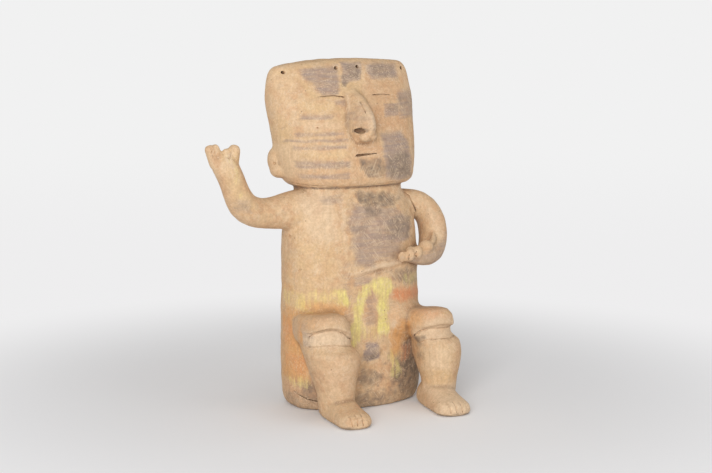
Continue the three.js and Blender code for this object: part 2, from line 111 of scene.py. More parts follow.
# Slits, grooves and cracks cut with a round tool. A place of two numbers is seen from the front, one of three
# is near the skin. The ends are shares of the radius.
INCISIONS = [
    {"line": [(-46, 308.6), (-34, 310), (-23, 310.5), (-11.5, 308.9)], "radius": 1.05, "sink": 0.6,
     "ends": (0.55, 1)},
    {"line": [(19, 310.2), (31, 310.6), (44, 309.6)], "radius": 1, "sink": 0.5, "ends": (1, 0.6)},
    {"line": [(-12.5, 252.6), (1, 253.4), (14, 254.4)], "radius": 1.4, "sink": 0.9, "ends": (1.2, 0.7)},
    {"line": [(-158, -18, 267), (-155, -19, 256), (-151, -20, 248)], "radius": 0.7, "sink": -0.2,
     "ends": (1, 0.5)},
    {"line": [(-136, -18, 262), (-140, -20, 252), (-142, -22, 246)], "radius": 0.7, "sink": -0.2,
     "ends": (1, 0.5)},
    {"line": [(39.3, -52, 154), (39.5, -51, 150), (40, -50, 146)], "radius": 0.8, "sink": 0.2,
     "ends": (0.7, 1)},
    {"line": [(48, -52, 157), (48.2, -51, 153), (49, -50, 148)], "radius": 0.8, "sink": 0.2,
     "ends": (0.8, 1)},
    {"line": [(-72, -9, 20.5), (-67.2, -21.1, 15.5), (-61.8, -28, 12), (-52, -35, 10)], "radius": 1.1,
     "sink": 0.7, "ends": (0.6, 1)},
    {"line": [(58, -9, 212), (61.5, -12, 207), (63, -14.5, 202), (66.5, -15, 196), (70, -13, 189.5)],
     "radius": 1.2, "sink": 0.5, "ends": (0.8, 1)},
    {"line": [(-77, 10, 276.5), (-72, -1, 281), (-67.5, -5.5, 286), (-63, -7, 293)], "radius": 0.5,
     "sink": -0.1, "ends": (0.5, 0.5)},
    {"line": [(-66, 2, 224), (-54, -16, 222.5), (-40, -25, 222), (-18, -30, 222.5), (6, -31, 223.5),
              (30, -30, 224.5), (52, -18, 225)], "radius": 1, "sink": 0.2, "ends": (1, 0.6)},
    {"line": [(-4.5, 305.5), (-4.9, 300), (-4.8, 294.5)], "radius": 0.8, "sink": 0.1, "ends": (0.4, 1)},
    {"line": [(-77, -60, 82.5), (-73.8, -66, 86.5), (-69.5, -70.5, 89), (-62.8, -74.5, 90.4),
              (-56, -76, 90.2), (-48, -75.5, 87), (-40, -72, 81), (-35, -65, 78)],
     "radius": 1, "sink": 0.3, "ends": (0.6, 0.9)},
    {"line": [(42.7, -56.5, 71.5), (45.7, -66, 78.7), (52.4, -71, 81.2), (62.3, -74, 80.8), (74, -72, 80.5),
              (84, -62, 80)], "radius": 1, "sink": 0.3, "ends": (0.8, 0.9)},
    {"line": [(-77, -62, 73.8), (-70.4, -72, 75.6), (-57, -78, 76.2), (-45, -77, 74.2), (-36, -71, 72)],
     "radius": 0.6, "sink": 0.1, "ends": (0.6, 0.9)},
    {"line": [(45, -63, 65.5), (48, -72, 70), (57, -78, 72), (72, -78.5, 71.2), (82, -70, 71)],
     "radius": 0.6, "sink": 0.1, "ends": (0.8, 0.9)},
]

# Toes: the front of each foot, its half width there and how many lines part the toes
TOES = [
    {"front": (-47.5, -113), "half": 15, "lines": 4},
    {"front": (60.5, -116), "half": 16, "lines": 4},
]

# Lines between the toes run down and forward: steps to the front and heights
TOE_LINE = [(0, 14), (-6, 11), (-11, 4)]

# Length of a tool's steps along its line, and the share of its radius left at both tips
TOOL_STEP = 2.5
TOOL_TIP = 0.3

# Round holes pierced in the brow as seen from the front, their radius and depth
PIERCINGS = [(-66, 333), (-11.5, 336.5), (12.5, 337.5), (68, 335)]
PIERCING_RADIUS = 2
PIERCING_DEPTH = 10

# Hollows pressed in: middle, half sizes and turn about Z
HOLLOWS = [
    {"at": (-9, -39, 277.3), "half": (4.6, 7, 2.9), "turn": 25},
    {"at": (9, -39, 276.5), "half": (3.6, 4.5, 3.1), "turn": -30},
    {"at": (-76.5, 14, 244), "half": (1.4, 2, 1.4), "turn": 0},
    {"at": (-140.3, -21.5, 255), "half": (1.2, 1.8, 1.2), "turn": 0},
    {"at": (-70.7, -8, 174), "half": (1.7, 1.6, 1.5), "turn": 0},
    {"at": (-66.8, -21, 141.2), "half": (1.1, 1.4, 1.2), "turn": 0},
    {"at": (-72, -7, 150), "half": (1, 1.2, 1.1), "turn": 0},
    {"at": (-45.6, -19, 280.1), "half": (0.9, 1.2, 0.9), "turn": 0},
]

# Soft lamps: place, the point each faces, side of its square in metres and power in watts
LAMPS = [
    {"name": "key", "place": (-1.45, -1.9, 0.95), "aim": (0, 0, 0.12), "size": 1.1, "power": 43},
    {"name": "fill", "place": (1.2, -2.0, 0.6), "aim": (0, 0, 0.08), "size": 1.0, "power": 7},
    {"name": "top", "place": (0.1, 0.0, 2.2), "aim": (0, 0, 0), "size": 1.6, "power": 9},
]

# Rise of the view between which the surroundings pass from their tone at the horizon to that overhead
SKY_RISE = (0.05, 0.3)

# Distances from the figure's middle between which the floor passes into the surroundings, in metres
FLOOR_FADE = (0.2, 0.62)

# Distance from which the floor has the tone of the surroundings, in metres
AIR_DISTANCE = 3.0

# Passes of easing that the close hollows and the wide creases are measured against
HOLLOW_PASSES = 14
CREASE_PASSES = 120

# The bent hand, which lies close to the body: middle and half sizes
BENT_HAND = {"at": (60, -44, 152), "half": (30, 9, 13)}

# Stains and worn paint, and some painted shade and painted highlights: part of the figure, cover, softness of
# the rim, and outline as (x, z). Those on the back lie on its far side, all others on the front.
STAINS = {
    "ochre": [
        ("raised_arm", 0.9, 2.5, [(-132, 262), (-127, 262), (-120, 222), (-124, 218), (-133, 242)]),
        ("head", 0.7, 3, [(-92, 257), (-71, 257), (-71, 228), (-92, 228)]),
        ("head", 0.6, 6, [(10, 323), (60, 324), (60, 308), (24, 300), (10, 312)]),
        ("head", 0.75, 7, [(14, 304), (34, 303), (60, 286), (58, 270), (22, 275), (10, 284)]),
        ("head", 0.6, 5, [(-12, 266), (14, 268), (18, 254), (18, 240), (-16, 240)]),
        ("head", 0.5, 4, [(-66, 240), (-18, 240), (60, 228), (60, 222), (-70, 222)]),
        ("body", 0.4, 5, [(-40, 203), (-20, 205), (-22, 197), (-40, 194)]),
        ("body", 0.6, 5, [(-21, 136), (-8, 141), (30, 147), (44, 144), (40, 139), (10, 137), (-12, 131)]),
        ("body", 0.6, 6, [(-12, 122), (8, 122), (10, 88), (-10, 88)]),
        ("body", 1, 8, [(-80, 40), (-54, 38), (-46, 0), (-80, 0)]),
        ("body", 0.7, 6, [(-94, 205), (-73, 200), (-71.5, 40), (-94, 40)]),
        ("body", 0.5, 6, [(10, 45), (30, 45), (30, 10), (8, 20)]),
        ("right_leg", 0.7, 6, [(-86, 108), (-26, 108), (-30, 92), (-60, 98), (-84, 86)]),
        ("right_leg", 0.6, 8, [(-78, 66), (-30, 66), (-30, 34), (-70, 30)]),
        ("left_leg", 1, 6, [(36, 108), (92, 108), (92, 88), (60, 90), (36, 82)]),
        ("left_leg", 0.6, 5, [(74, 66), (92, 66), (92, 34), (78, 34)]),
        ("raised_arm", 0.6, 8, [(-160, 240), (-148, 240), (-120, 186), (-80, 188), (-80, 172), (-150, 172)]),
        ("bent_arm", 0.6, 8, [(84, 200), (110, 180), (110, 140), (60, 136), (70, 150), (96, 160)]),
        ("back", 0.6, 12, [(-70, 120), (-10, 140), (40, 90), (30, 20), (-60, 10)]),
    ],
    "gold": [
        ("head", 0.7, 4,
         [(-56, 328), (-49, 326), (-42, 317), (-35, 311), (-12, 314), (-12, 308), (-46, 307)]),
        ("head", 0.8, 6, [(-58, 306), (-24, 305), (-20, 295), (-61, 295)]),
        ("head", 0.6, 4, [(-76, 335), (-30, 345), (50, 345), (50, 341), (-30, 341), (-70, 330)]),
        ("head", 0.7, 6, [(-78, 292), (-66, 284), (-66, 230), (-80, 232)]),
        ("head", 0.6, 3, [(-66, 258), (-18, 258), (-18, 250), (-66, 250)]),
        ("head", 0.6, 3, [(-16, 324), (14, 324), (8, 312), (-14, 312)]),
        ("body", 0.5, 10, [(-70, 196), (-36, 200), (-30, 150), (-40, 120), (-74, 120)]),
        ("body", 0.9, 5, [(-76, 121), (-27, 119), (-24, 104), (-42, 101), (-76, 101)]),
        ("raised_arm", 0.7, 6,
         [(-150, 262), (-128, 262), (-126, 232), (-112, 206), (-128, 200), (-142, 230)]),
        ("left_leg", 0.6, 6, [(44, 62), (72, 62), (70, 10), (52, 10)]),
        ("back", 0.7, 10, [(-60, 330), (10, 330), (30, 280), (-20, 250), (-60, 270)]),
    ],
    "pale": [
        ("raised_arm", 0.9, 3, [(-143, 260), (-136, 260), (-135, 243), (-144, 246)]),
        ("bent_arm", 0.6, 4, [(80, 196), (91, 191), (93, 174), (84, 170)]),
        ("head", 0.2, 8, [(-76, 333), (-52, 331), (-50, 312), (-57, 297), (-69, 282), (-78, 284)]),
        ("head", 0.45, 4, [(-53, 287), (-22, 286), (-21, 278), (-61, 277)]),
        ("head", 0.6, 1.2, [(-10.5, 312), (-8, 312), (-14, 284), (-19, 258), (-21, 258), (-16, 284)]),
        # Painted highlight: a pale sheen along the nose's right flank.
        ("head", 0.9, 1.5, [(1, 299), (4, 296), (7, 284), (5, 279), (0, 281), (-2, 290)]),
        # Painted highlight: pale along the lit lower edge of the mouth slit.
        ("head", 0.6, 0.8, [(-12, 251.6), (14, 253.2), (14, 251.6), (-12, 250)]),
        # Painted highlight: pale along the lit lower edge of the left eye slit.
        ("head", 0.5, 0.8, [(-46, 307.4), (-12, 307.6), (-12, 306.4), (-46, 306.2)]),
        ("body", 0.6, 2, [(-27, 214), (-22, 214), (-23, 168), (-27, 168)]),
        ("body", 0.65, 8, [(-66, 218), (-34, 220), (-30, 168), (-60, 168)]),
        ("head", 0.5, 9, [(-80, 268), (-62, 268), (-58, 226), (-80, 230)]),
        ("body", 0.8, 2, [(-19, 136), (-7, 141), (10, 145.5), (34, 147), (44, 143), (10, 139), (-6, 133)]),
        ("body", 0.6, 5, [(22, 103), (38, 102), (34, 88), (28, 76), (20, 80)]),
        ("right_leg", 0.85, 4, [(-84, 86), (-58, 94), (-38, 88), (-32, 74), (-84, 74)]),
        ("left_leg", 0.7, 4, [(40, 88), (60, 94), (88, 90), (88, 70), (42, 68)]),
        ("left_leg", 0.6, 5, [(46, 62), (70, 62), (68, 40), (48, 40)]),
        ("left_leg", 0.8, 6, [(36, 24), (84, 24), (84, -3), (36, -3)]),
        ("right_leg", 0.4, 6, [(-70, 60), (-36, 60), (-36, 20), (-64, 20)]),
        ("bent_arm", 0.5, 6, [(74, 205), (94, 190), (100, 165), (86, 160), (82, 186)]),
        ("back", 0.7, 12, [(-40, 210), (50, 215), (60, 150), (10, 130), (-50, 160)]),
    ],
    "umber": [
        ("head", 0.45, 3, [(-9, 304), (-2, 304), (4, 286), (3, 276), (-14, 280), (-15, 290)]),
        ("raised_arm", 0.5, 5, [(-134, 216), (-116, 214), (-116, 200), (-132, 202)]),
        ("head", 0.8, 3,
         [(-52, 337), (-10, 340), (-11, 334), (-17, 310), (-34, 310), (-42, 322), (-49, 327)]),
        ("head", 0.85, 2, [(-6, 343), (18, 343), (12, 325), (-3, 323), (-8, 320), (-12, 323), (-6, 334)]),
        ("head", 0.85, 4, [(24, 342), (60, 341), (57, 326), (24, 325), (20, 333)]),
        ("head", 0.65, 2, [(-24, 306), (-12, 306), (-14, 300), (-23, 301)]),
        ("head", 0.75, 2, [(31, 301), (52, 302), (49, 289), (29, 288)]),
        ("head", 0.7, 4, [(53, 314), (80, 314), (80, 285), (49, 287), (48, 300)]),
        ("head", 0.85, 4,
         [(20, 273), (46, 275), (56, 264), (61, 244), (64, 226), (42, 224), (22, 228), (20, 250)]),
        ("head", 0.75, 2.2, [(-60, 293), (-28, 292.5), (-29, 288), (-60, 288)]),
        ("head", 0.75, 1.8, [(-65, 275.4), (-20, 276), (-21, 272.8), (-66, 271.5)]),
        ("head", 0.7, 1.6, [(-73, 268.6), (-16, 269.6), (-17, 266.4), (-73, 265.6)]),
        ("head", 0.75, 2, [(-68, 262.4), (-19, 263.6), (-20, 259.6), (-68, 258.8)]),
        ("head", 0.75, 2, [(-66, 248), (-17, 248), (-17, 241), (-65, 241)]),
        ("head", 0.75, 2.2, [(-65, 235), (-18, 236), (-18, 230), (-61, 230)]),
        ("body", 0.75, 7,
         [(-13, 205), (30, 200), (55, 186), (55, 168), (41, 160), (35, 147), (-16, 150), (-21, 190)]),
        ("body", 0.75, 4, [(-15, 156), (12, 154), (6, 141), (-14, 143)]),
        ("body", 0.45, 5, [(-43, 215), (-23, 217), (-25, 203), (-45, 205)]),
        ("body", 0.35, 4, [(-28, 150), (-19, 150), (-22, 80), (-30, 90)]),
        ("body", 0.55, 3, [(-17, 134), (3, 134), (3, 123), (-16, 124)]),
        ("body", 0.5, 3, [(-4, 120), (7, 120), (6, 84), (-5, 84)]),
        ("body", 1, 2.2,
         [(-8, 62), (-5, 66), (1, 68), (7, 66), (10, 61), (10, 54), (6, 49), (0, 47), (-6, 49), (-9, 54)]),
        ("body", 0.6, 5, [(28, 82), (36, 82), (40, 64), (30, 64)]),
        # Painted shade on the shaded left side of the right knee.
        ("right_leg", 0.5, 5, [(-90, 100), (-78, 96), (-74, 72), (-90, 70)]),
        ("bent_arm", 0.7, 6, [(40, 148), (88, 158), (102, 168), (100, 136), (40, 136)]),
        ("back", 0.5, 9, [(20, 335), (70, 330), (66, 280), (40, 270), (24, 300)]),
        ("back", 0.45, 8, [(-50, 100), (-10, 110), (0, 60), (-40, 50)]),
    ],
    # Soot and dark stains, and painted shadows where noted below.
    "soot_and_shadow": [
        # Painted contact shadow: dark strips along the bottom of both feet.
        ("right_leg", 0.95, 1.4, [(-84, 3), (-14, 3), (-14, -3), (-84, -3)]),
        ("left_leg", 0.95, 1.4, [(28, 3), (92, 3), (92, -3), (28, -3)]),
        # Painted shadow: a dark line along the joint under the chin, on the body and the head.
        ("body", 0.7, 0.8, [(-64, 223), (52, 224), (52, 220.6), (-64, 220)]),
        ("head", 0.8, 0.8, [(-66, 222), (52, 222.5), (52, 218), (-66, 218)]),
        # Painted shade: dark at the base between the legs.
        ("body", 0.8, 4, [(-14, 12), (14, 14), (16, -2), (-16, -2)]),
        ("head", 0.6, 2, [(-9, 331), (-2, 331), (-7, 317), (-13, 319)]),
        ("head", 0.6, 3, [(-2, 342), (17, 342), (12, 326), (-2, 326)]),
        ("head", 0.6, 4, [(26, 341), (56, 340), (54, 327), (26, 327)]),
        ("head", 0.4, 3, [(50, 310), (76, 310), (76, 296), (52, 296)]),
        ("head", 0.45, 2, [(34, 299), (50, 300), (48, 293), (34, 293)]),
        ("head", 0.85, 3, [(-7, 249), (18, 249), (22, 237), (19, 229), (2, 230), (-7, 241)]),
        ("head", 0.8, 5, [(25, 252), (54, 254), (60, 228), (28, 228), (22, 241)]),
        ("head", 0.35, 2, [(-34, 248), (-19, 248), (-19, 241), (-34, 241)]),
        ("body", 0.85, 4,
         [(-6, 216), (10, 216), (34, 213), (44, 205), (34, 199), (12, 200), (-3, 202), (-8, 205)]),
        ("body", 0.75, 5, [(-4, 203), (18, 200), (17, 192), (0, 190)]),
        ("body", 0.65, 7, [(28, 192), (56, 190), (54, 168), (30, 168), (17, 177)]),
        ("body", 0.4, 6, [(-20, 188), (0, 186), (0, 172), (-18, 172)]),
        ("body", 0.3, 5, [(-42, 214), (-24, 216), (-26, 206), (-42, 206)]),
        ("body", 0.5, 3, [(3, 139), (37, 139), (58, 134), (58, 128), (30, 130), (6, 134)]),
        ("body", 0.7, 5, [(30, 138), (74, 138), (74, 119), (56, 119), (40, 122), (28, 126)]),
        # Painted shade: darker on the lower belly between the legs, where the legs shadow it.
        ("body", 0.65, 4, [(-12, 42), (6, 40), (15, 31), (10, 21), (-10, 22), (-16, 31)]),
        ("body", 0.65, 3, [(-16, 20), (-3, 16), (2, 9), (-8, 7), (-18, 12)]),
        # Painted shade: dark low on the body behind the left shin and between the legs.
        ("body", 0.85, 7, [(36, 60), (76, 60), (76, 6), (36, 3), (27, 15), (34, 28), (40, 42)]),
        ("body", 0.45, 6, [(22, 34), (40, 34), (36, 4), (12, 8)]),
        ("body", 0.5, 3, [(18, 58), (26, 56), (22, 38), (16, 42)]),
        # Painted shade: dark in the gap between the right shin and the body.
        ("body", 0.8, 6, [(-68, 34), (-54, 30), (-50, 8), (-66, 10)]),
        # Darker along the bottom of the body.
        ("body", 0.65, 7, [(-84, 18), (-40, 18), (60, 20), (60, -3), (-84, -3)]),
        # Painted shade: dark in the gap between the left knee and the body.
        ("body", 1, 4, [(36, 70), (64, 74), (62, 30), (30, 30), (38, 44)]),
        ("left_leg", 0.9, 3, [(30, 74), (46.5, 72), (45.5, 36), (30, 36)]),
        ("body", 0.9, 6, [(26, 48), (42, 48), (42, 20), (22, 20)]),
        ("body", 0.55, 3, [(-8, 62), (-4, 66), (5, 65), (7, 56), (4, 49), (-4, 48), (-9, 53)]),
        ("raised_arm", 0.45, 3, [(-132, 212), (-122, 212), (-121, 205), (-131, 206)]),
        # Darker along the bottom of the back.
        ("back", 0.45, 9, [(-70, 30), (70, 40), (70, -2), (-70, -2)]),
        # Painted shadow on the inner side of the bent arm's loop.
        ("bent_arm", 0.95, 1, [(64, 182), (76.5, 181), (77, 165), (64, 165)]),
        # Painted shade: dark inside the nostril.
        ("head", 0.95, 1.2,
         [(-13.5, 278.5), (-9, 280.5), (-4.5, 279), (-4.5, 276), (-9, 274.2), (-13, 275.5)]),
        # Painted shade under the nose's bulb.
        ("head", 0.4, 2, [(-1, 273), (6, 276), (6, 266), (-6, 265), (-8, 268)]),
    ],
    "orange": [
        ("bent_arm", 0.35, 2.5, [(92, 197), (98, 195), (97, 189), (91, 190)]),
        ("body", 0.8, 5, [(-66, 111), (-26, 110), (-22, 100), (-36, 92), (-67, 96)]),
        ("body", 0.95, 6, [(-84, 104), (-62, 102), (-60, 42), (-62, 30), (-84, 34)]),
        ("body", 0.8, 6, [(-84, 150), (-74, 150), (-71, 96), (-84, 96)]),
        ("body", 0.9, 4, [(24, 78), (34, 86), (46, 86), (46, 66), (36, 58), (26, 44), (22, 57)]),
        ("body", 0.4, 5, [(22, 102), (38, 102), (34, 86), (22, 84)]),
        ("left_leg", 0.6, 5, [(34, 96), (46, 100), (46, 80), (34, 76)]),
        ("right_leg", 0.5, 6, [(-90, 110), (-70, 110), (-76, 88), (-90, 92)]),
    ],
    "yellow": [
        ("raised_arm", 0.3, 3,
         [(-142, 258), (-136, 258), (-130, 238), (-126, 218), (-131, 216), (-140, 246)]),
        ("body", 0.9, 4,
         [(-9, 125), (4, 125), (-1, 112), (-8, 104), (-10, 70), (-18, 62), (-24, 66), (-19, 99)]),
        ("body", 0.95, 3.5,
         [(6, 133), (24, 130), (27, 120), (22, 108), (20, 72), (8, 74), (8, 109), (3, 125)]),
        ("body", 0.95, 4, [(-38, 122), (-24, 121), (-22, 104), (-34, 107)]),
        ("body", 0.45, 5, [(-76, 122), (-30, 122), (-34, 108), (-76, 108)]),
        ("body", 0.5, 4, [(-72, 114), (-58, 114), (-58, 100), (-72, 100)]),
        ("body", 0.45, 4, [(-12, 84), (18, 84), (14, 68), (-10, 70)]),
        ("body", 0.5, 4, [(40, 132), (72, 132), (70, 118), (40, 122)]),
        ("body", 0.6, 4, [(20, 60), (28, 58), (38, 36), (34, 26), (22, 30)]),
        ("body", 0.5, 4, [(-72, 38), (-62, 36), (-60, 24), (-72, 22)]),
        ("left_leg", 0.35, 6, [(60, 98), (88, 100), (86, 90), (60, 90)]),
    ],
    "red": [
        ("body", 0.5, 3, [(36, 60), (48, 62), (48, 42), (36, 42)]),
        ("body", 0.85, 5, [(28, 118), (74, 116), (74, 104), (38, 104), (26, 109)]),
        ("body", 0.5, 6, [(-76, 60), (-62, 58), (-62, 38), (-72, 34)]),
        ("body", 0.5, 5, [(-80, 96), (-70, 94), (-70, 66), (-78, 66)]),
        ("left_leg", 0.4, 5, [(42, 104), (66, 106), (66, 90), (46, 88)]),
    ],
}


class ClaySettings(bpy.types.PropertyGroup):
    """Sizes of the clay's surface"""

    voxel: bpy.props.FloatProperty(
        name="Fineness", description="Spacing of the remeshed surface",
        default=1.2 * MM, unit="LENGTH")
    wide_passes: bpy.props.IntProperty(
        name="Wide smoothing", description="Passes that round the broad surfaces", default=70)
    close_passes: bpy.props.IntProperty(
        name="Close smoothing", description="Passes that take out the remesh's steps", default=5)
    lump_height: bpy.props.FloatProperty(
        name="Lumps", description="Height of the unevenness left by the hand",
        default=2.2 * MM, unit="LENGTH")
    lump_size: bpy.props.FloatProperty(
        name="Lump size", description="Width of the unevenness left by the hand",
        default=38 * MM, unit="LENGTH")
    dent_height: bpy.props.FloatProperty(
        name="Dents", description="Height of the finger and tool marks",
        default=0.9 * MM, unit="LENGTH")
    dent_size: bpy.props.FloatProperty(
        name="Dent size", description="Width of the finger and tool marks",
        default=11 * MM, unit="LENGTH")
    grit_height: bpy.props.FloatProperty(
        name="Grit", description="Height of the weathered grain",
        default=0.22 * MM, unit="LENGTH")
    grit_size: bpy.props.FloatProperty(
        name="Grit size", description="Width of the weathered grain",
        default=3.2 * MM, unit="LENGTH")
    faces_kept: bpy.props.FloatProperty(
        name="Faces kept", description="Share of the remeshed faces that are kept",
        default=0.5, subtype="FACTOR")


def tone(name, description, default):
    """A colour setting."""
    return bpy.props.FloatVectorProperty(
        name=name, description=description, default=default, subtype="COLOR", min=0, max=1)


class PaintSettings(bpy.types.PropertyGroup):
    """Colours of the clay, its paint, its stains, and the painted shade and highlights"""

    clay: tone("Clay", "Fired clay", (0.56, 0.385, 0.225))
    buff: tone("Buff", "Lighter clay", (0.62, 0.445, 0.275))
    tan: tone("Tan", "Warmer clay", (0.57, 0.37, 0.2))
    # Pale slip colour, also laid as painted highlights on the nose and under the mouth and left eye slits.
    pale: tone("Pale slip", "Thin pale slip", (0.66, 0.5, 0.34))
    ochre: tone("Ochre", "Warm flush of the fire", (0.54, 0.325, 0.18))
    gold: tone("Gold", "Golden flush of the fire", (0.61, 0.43, 0.235))
    # Purple-brown paint colour, also laid as painted shade on the left side of the right knee.
    umber: tone("Umber paint", "Purple-brown paint", (0.31, 0.235, 0.2))
    # Soot colour, also laid as painted shadow in the gaps by the legs, under the chin, at the soles and in
    # the nose.
    soot_and_shadow: tone("Soot", "Dark soot and stains", (0.2, 0.15, 0.11))
    orange: tone("Orange pigment", "Orange pigment", (0.6, 0.325, 0.13))
    yellow: tone("Yellow pigment", "Yellow pigment", (0.68, 0.58, 0.21))
    red: tone("Red pigment", "Orange-red pigment", (0.6, 0.25, 0.115))
    # Dirt colour, also laid as painted shade in the broad creases and used to darken the small hollows.
    soil_and_shade: tone("Soil", "Dirt in the hollows", (0.17, 0.09, 0.045))


class StageSettings(bpy.types.PropertyGroup):
    """Camera, floor and lights"""

    view_turn: bpy.props.FloatProperty(
        name="View turn", description="How far the camera stands to the figure's right",
        default=math.radians(28), subtype="ANGLE")
    view_dip: bpy.props.FloatProperty(
        name="View dip", description="How far the camera looks down",
        default=math.radians(8.36), subtype="ANGLE")
    view_distance: bpy.props.FloatProperty(
        name="Distance", description="Level distance from the figure's middle to the camera",
        default=1.5, unit="LENGTH")
    view_height: bpy.props.FloatProperty(
        name="Height", description="Height of the camera", default=0.388, unit="LENGTH")
    view_aside: bpy.props.FloatProperty(
        name="Aside", description="How far the camera stands to its own right",
        default=0.0062, unit="LENGTH")
    lens: bpy.props.FloatProperty(
        name="Lens", description="Focal length in millimetres on a 36 mm frame", default=75.84)
    floor_tone: bpy.props.FloatVectorProperty(
        name="Floor", description="Colour of the floor", default=(0.87, 0.865, 0.87), subtype="COLOR")
    haze_tone: bpy.props.FloatVectorProperty(
        name="Haze", description="Colour that the floor passes into",
        default=(0.855, 0.85, 0.855), subtype="COLOR")
    air_tone: bpy.props.FloatVectorProperty(
        name="Surroundings", description="Colour of the surroundings near the horizon",
        default=(0.88, 0.88, 0.88), subtype="COLOR")
    sky_tone: bpy.props.FloatVectorProperty(
        name="Overhead", description="Colour of the surroundings overhead",
        default=(0.32, 0.32, 0.32), subtype="COLOR")


def only(piece):
    """Makes a piece the one selected and active object."""
    bpy.ops.object.select_all(action="DESELECT")
    piece.select_set(True)
    bpy.context.view_layer.objects.active = piece


def apply_all(piece):
    """Applies every modifier of a piece, in order."""
    only(piece)
    for name in [modifier.name for modifier in piece.modifiers]:
        bpy.ops.object.modifier_apply(modifier=name)


def point_array(mesh):
    """The places of a mesh's points."""
    places = np.empty(len(mesh.vertices) * 3, np.float32)
    mesh.vertices.foreach_get("co", places)
    return places.reshape(-1, 3).astype(float)


def normal_array(mesh):
    """The outward directions at a mesh's points."""
    normals = np.empty(len(mesh.vertices) * 3, np.float32)
    mesh.vertex_normals.foreach_get("vector", normals)
    return normals.reshape(-1, 3).astype(float)


def smoothstep(low, high, value):
    """0 at low, 1 at high, smooth between them."""
    share = np.clip((value - low) / (high - low), 0, 1)
    return share * share * (3 - 2 * share)


def joined(pieces):
    """Joins pieces into the first of them."""
    bpy.ops.object.select_all(action="DESELECT")
    for piece in pieces:
        piece.select_set(True)
    bpy.context.view_layer.objects.active = pieces[0]
    bpy.ops.object.join()
    return pieces[0]


def copied_solid():
    """A copy of the CAD solid with its shared corners merged."""
    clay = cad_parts[NODE].copy()
    clay.data = clay.data.copy()
    clay.name = "clay_figure"
    clay.data.materials.clear()
    for key in [key for key in clay.keys() if key.startswith("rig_")]:
        del clay[key]
    clay.parent = None
    bpy.context.scene.collection.objects.link(clay)
    only(clay)
    bpy.ops.object.mode_set(mode="EDIT")
    bpy.ops.mesh.select_all(action="SELECT")
    bpy.ops.mesh.remove_doubles(threshold=0.01 * MM)
    bpy.ops.object.mode_set(mode="OBJECT")
    return clay


def pellet(at, half, turn):
    """A pellet of clay: a ball pressed to three half sizes."""
    bpy.ops.object.select_all(action="DESELECT")
    bpy.ops.mesh.primitive_uv_sphere_add(
        segments=32, ring_count=20, radius=1, location=Vector(at) * MM,
        rotation=(0, 0, math.radians(turn)), scale=Vector(half) * MM)
    bpy.ops.object.transform_apply(location=True, rotation=True, scale=True)
    return bpy.context.object


def roll(points, radius, taper=0.4, sides=2):
    """A thin roll of clay along points, thinner at its ends, as a closed mesh."""
    bpy.ops.object.select_all(action="DESELECT")
    bpy.ops.curve.primitive_nurbs_path_add(radius=1)
    line = bpy.context.object
    line.data.splines.clear()
    spline = line.data.splines.new("NURBS")
    spline.points.add(len(points) - 1)
    for place, target in zip(points, spline.points):
        target.co = (*(Vector(place) * MM), 1)
    spline.points[0].radius = taper
    spline.points[-1].radius = taper
    spline.use_endpoint_u = True
    spline.order_u = min(4, len(points))
    spline.resolution_u = 8
    line.data.bevel_depth = radius * MM
    line.data.bevel_resolution = sides
    line.data.use_fill_caps = True
    bpy.ops.object.convert(target="MESH")
    bpy.ops.object.transform_apply(location=True, rotation=True, scale=True)
    return bpy.context.object


def crisp_share(points):
    """How freely each point may be smoothed, from 0 to 1."""
    share = np.ones(len(points))
    for place in KEPT_CRISP:
        away = (points / MM - place["at"]) / place["half"]
        distance = np.sqrt((away ** 2).sum(1))
        share = np.minimum(share, place["share"] + (1 - place["share"]) * smoothstep(0.8, 1.2, distance))
    return share


def remeshed(clay, settings):
    """One even skin over the solid and all that was laid on it."""
    remesh = clay.modifiers.new("skin", "REMESH")
    remesh.mode = "VOXEL"
    remesh.voxel_size = settings.voxel
    apply_all(clay)


def smoothed(clay, settings):
    """Takes out the steps of the skin, then rounds the broad surfaces and fills their joints."""
    group = clay.vertex_groups.new(name="broad")
    share = crisp_share(point_array(clay.data))
    for level in range(1, 21):
        members = np.nonzero(np.round(share * 20) == level)[0]
        group.add(members.tolist(), level / 20, "REPLACE")
    close = clay.modifiers.new("close", "SMOOTH")
    close.factor = 0.5
    close.iterations = settings.close_passes
    wide = clay.modifiers.new("wide", "SMOOTH")
    wide.factor = 0.5
    wide.iterations = settings.wide_passes
    wide.vertex_group = "broad"
    apply_all(clay)


def uneven(clay, name, height, size, depth):
    """Raises and sinks the surface by a cloud pattern."""
    clouds = bpy.data.textures.new(name, "CLOUDS")
    clouds.noise_scale = size
    clouds.noise_depth = depth
    displace = clay.modifiers.new(name, "DISPLACE")
    displace.texture = clouds
    displace.texture_coords = "LOCAL"
    displace.strength = height
    displace.mid_level = 0.5
    displace.vertex_group = "broad"


def handworked(clay, settings):
    """Gives the surface the lumps, dents and grit of worked and weathered clay."""
    uneven(clay, "lumps", settings.lump_height, settings.lump_size, 1)
    uneven(clay, "dents", settings.dent_height, settings.dent_size, 1)
    uneven(clay, "grit", settings.grit_height, settings.grit_size, 2)
    apply_all(clay)


def thinned(clay, settings):
    """Drops the faces that flat places don't need."""
    decimate = clay.modifiers.new("thin", "DECIMATE")
    decimate.ratio = settings.faces_kept
    apply_all(clay)


class Skin:
    """Finds places on the clay's surface, in millimetres"""

    def __init__(self, clay):
        self.tree = BVHTree.FromObject(clay, bpy.context.evaluated_depsgraph_get())

    def place(self, place):
        """The point and outward direction of a place seen from the front, or near the skin."""
        if len(place) == 2:
            before = Vector((place[0], -400, place[1])) * MM
            point, normal, _, _ = self.tree.ray_cast(before, Vector((0, 1, 0)))
        else:
            point, normal, _, _ = self.tree.find_nearest(Vector(place) * MM)
        return point / MM, normal


